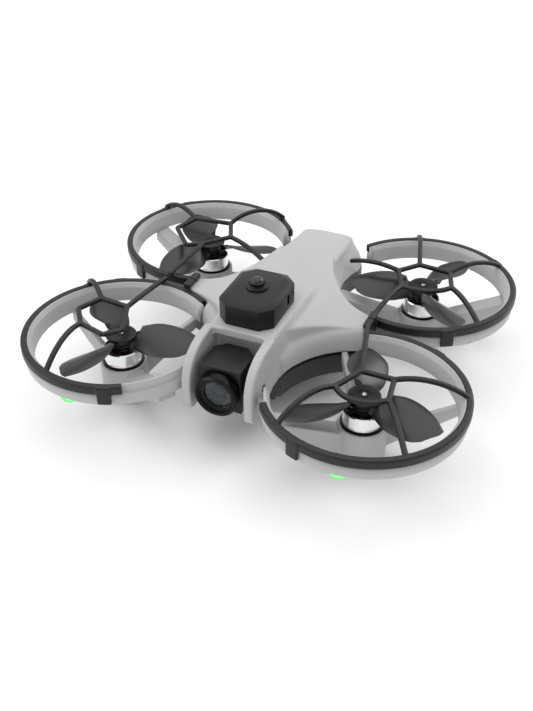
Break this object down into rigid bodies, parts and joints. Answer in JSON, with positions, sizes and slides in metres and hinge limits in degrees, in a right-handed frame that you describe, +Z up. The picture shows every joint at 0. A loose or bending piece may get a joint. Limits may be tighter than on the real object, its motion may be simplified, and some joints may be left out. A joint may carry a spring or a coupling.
{
  "type": "ducted quadcopter",
  "caption": "Small ducted racing drone with a tilting nose camera, caged propellers, low motor pods and a faceted roof unit.",
  "frame": {"origin": "on the standing surface, midway between the four rotor axes", "axes": "+Z up, nose towards -Y, the craft's own left towards +X"},
  "size_m": [0.212, 0.19, 0.0654],
  "materials": {
    "frame_grey": "fine matt moulded plastic",
    "guard_charcoal": "satin moulded plastic",
    "chassis_dark": "matt moulded plastic",
    "propeller_dark": "satin moulded plastic",
    "bell_silver": "turned, bright",
    "stator_black": "coated laminations",
    "bright_steel": "ground",
    "screw_black": "black oxide",
    "soft_rubber": "matt",
    "case_black": "matt",
    "dome_black": "glossy",
    "lens_glass": "coated glass",
    "lamp_clear": "clear, lit green at the front",
    "circuit_board": "solder mask",
    "battery_wrap": "shrink film",
    "socket_steel": "plain",
    "button_black": "matt"
  },
  "bodies": {
    "airframe": {"battery": "battery_wrap", "board_grommets": "soft_rubber", "camera_screws": "screw_black", "charge_socket": "socket_steel", "cover_screws": "screw_black", "dome_bezel": "case_black", "dome_knob": "dome_black", "duct_front_left": "frame_grey", "duct_front_right": "frame_grey", "duct_rear_left": "frame_grey", "duct_rear_right": "frame_grey", "flight_board": "circuit_board", "guard_front_left": "guard_charcoal", "guard_front_right": "guard_charcoal", "guard_rear_left": "guard_charcoal", "guard_rear_right": "guard_charcoal", "lamp_lens_front_left": "lamp_clear", "lamp_lens_front_right": "lamp_clear", "lamp_lens_rear_left": "lamp_clear", "lamp_lens_rear_right": "lamp_clear", "landing_pads": "soft_rubber", "lower_chassis": "chassis_dark", "motor_screws": "screw_black", "motor_stator_front_left": "stator_black", "motor_stator_front_right": "stator_black", "motor_stator_rear_left": "stator_black", "motor_stator_rear_right": "stator_black", "roof_unit_case": "case_black", "top_shell": "frame_grey", "video_board": "circuit_board"},
    "rotor_front_left": {"motor_bell_front_left": "bell_silver", "motor_shaft_front_left": "bright_steel", "propeller_front_left": "propeller_dark", "propeller_cap_front_left": "propeller_dark"},
    "rotor_front_right": {"motor_bell_front_right": "bell_silver", "motor_shaft_front_right": "bright_steel", "propeller_front_right": "propeller_dark", "propeller_cap_front_right": "propeller_dark"},
    "rotor_rear_left": {"motor_bell_rear_left": "bell_silver", "motor_shaft_rear_left": "bright_steel", "propeller_rear_left": "propeller_dark", "propeller_cap_rear_left": "propeller_dark"},
    "rotor_rear_right": {"motor_bell_rear_right": "bell_silver", "motor_shaft_rear_right": "bright_steel", "propeller_rear_right": "propeller_dark", "propeller_cap_rear_right": "propeller_dark"},
    "camera": {"camera_case": "case_black", "lens_barrel": "case_black", "lens_glass": "lens_glass"},
    "button": {"power_button": "button_black"}
  },
  "joints": [
    {"name": "front_left_spin", "type": "hinge", "parent": "airframe", "child": "rotor_front_left", "pos_m": [0.06, -0.049, 0.025], "axis": [0, 0, 1], "continuous": true},
    {"name": "front_right_spin", "type": "hinge", "parent": "airframe", "child": "rotor_front_right", "pos_m": [-0.06, -0.049, 0.025], "axis": [0, 0, 1], "continuous": true},
    {"name": "rear_left_spin", "type": "hinge", "parent": "airframe", "child": "rotor_rear_left", "pos_m": [0.06, 0.049, 0.025], "axis": [0, 0, 1], "continuous": true},
    {"name": "rear_right_spin", "type": "hinge", "parent": "airframe", "child": "rotor_rear_right", "pos_m": [-0.06, 0.049, 0.025], "axis": [0, 0, 1], "continuous": true},
    {"name": "camera_tilt", "type": "hinge", "parent": "airframe", "child": "camera", "pos_m": [0, -0.0585, 0.031], "axis": [-1, 0, 0], "range_deg": [-10, 25]},
    {"name": "button_press", "type": "slide", "parent": "airframe", "child": "button", "axis": [0, -1, 0], "range_m": [0, 0.0008], "stiffness_N_per_m": 400, "springref_m": -0.0006}
  ]
}
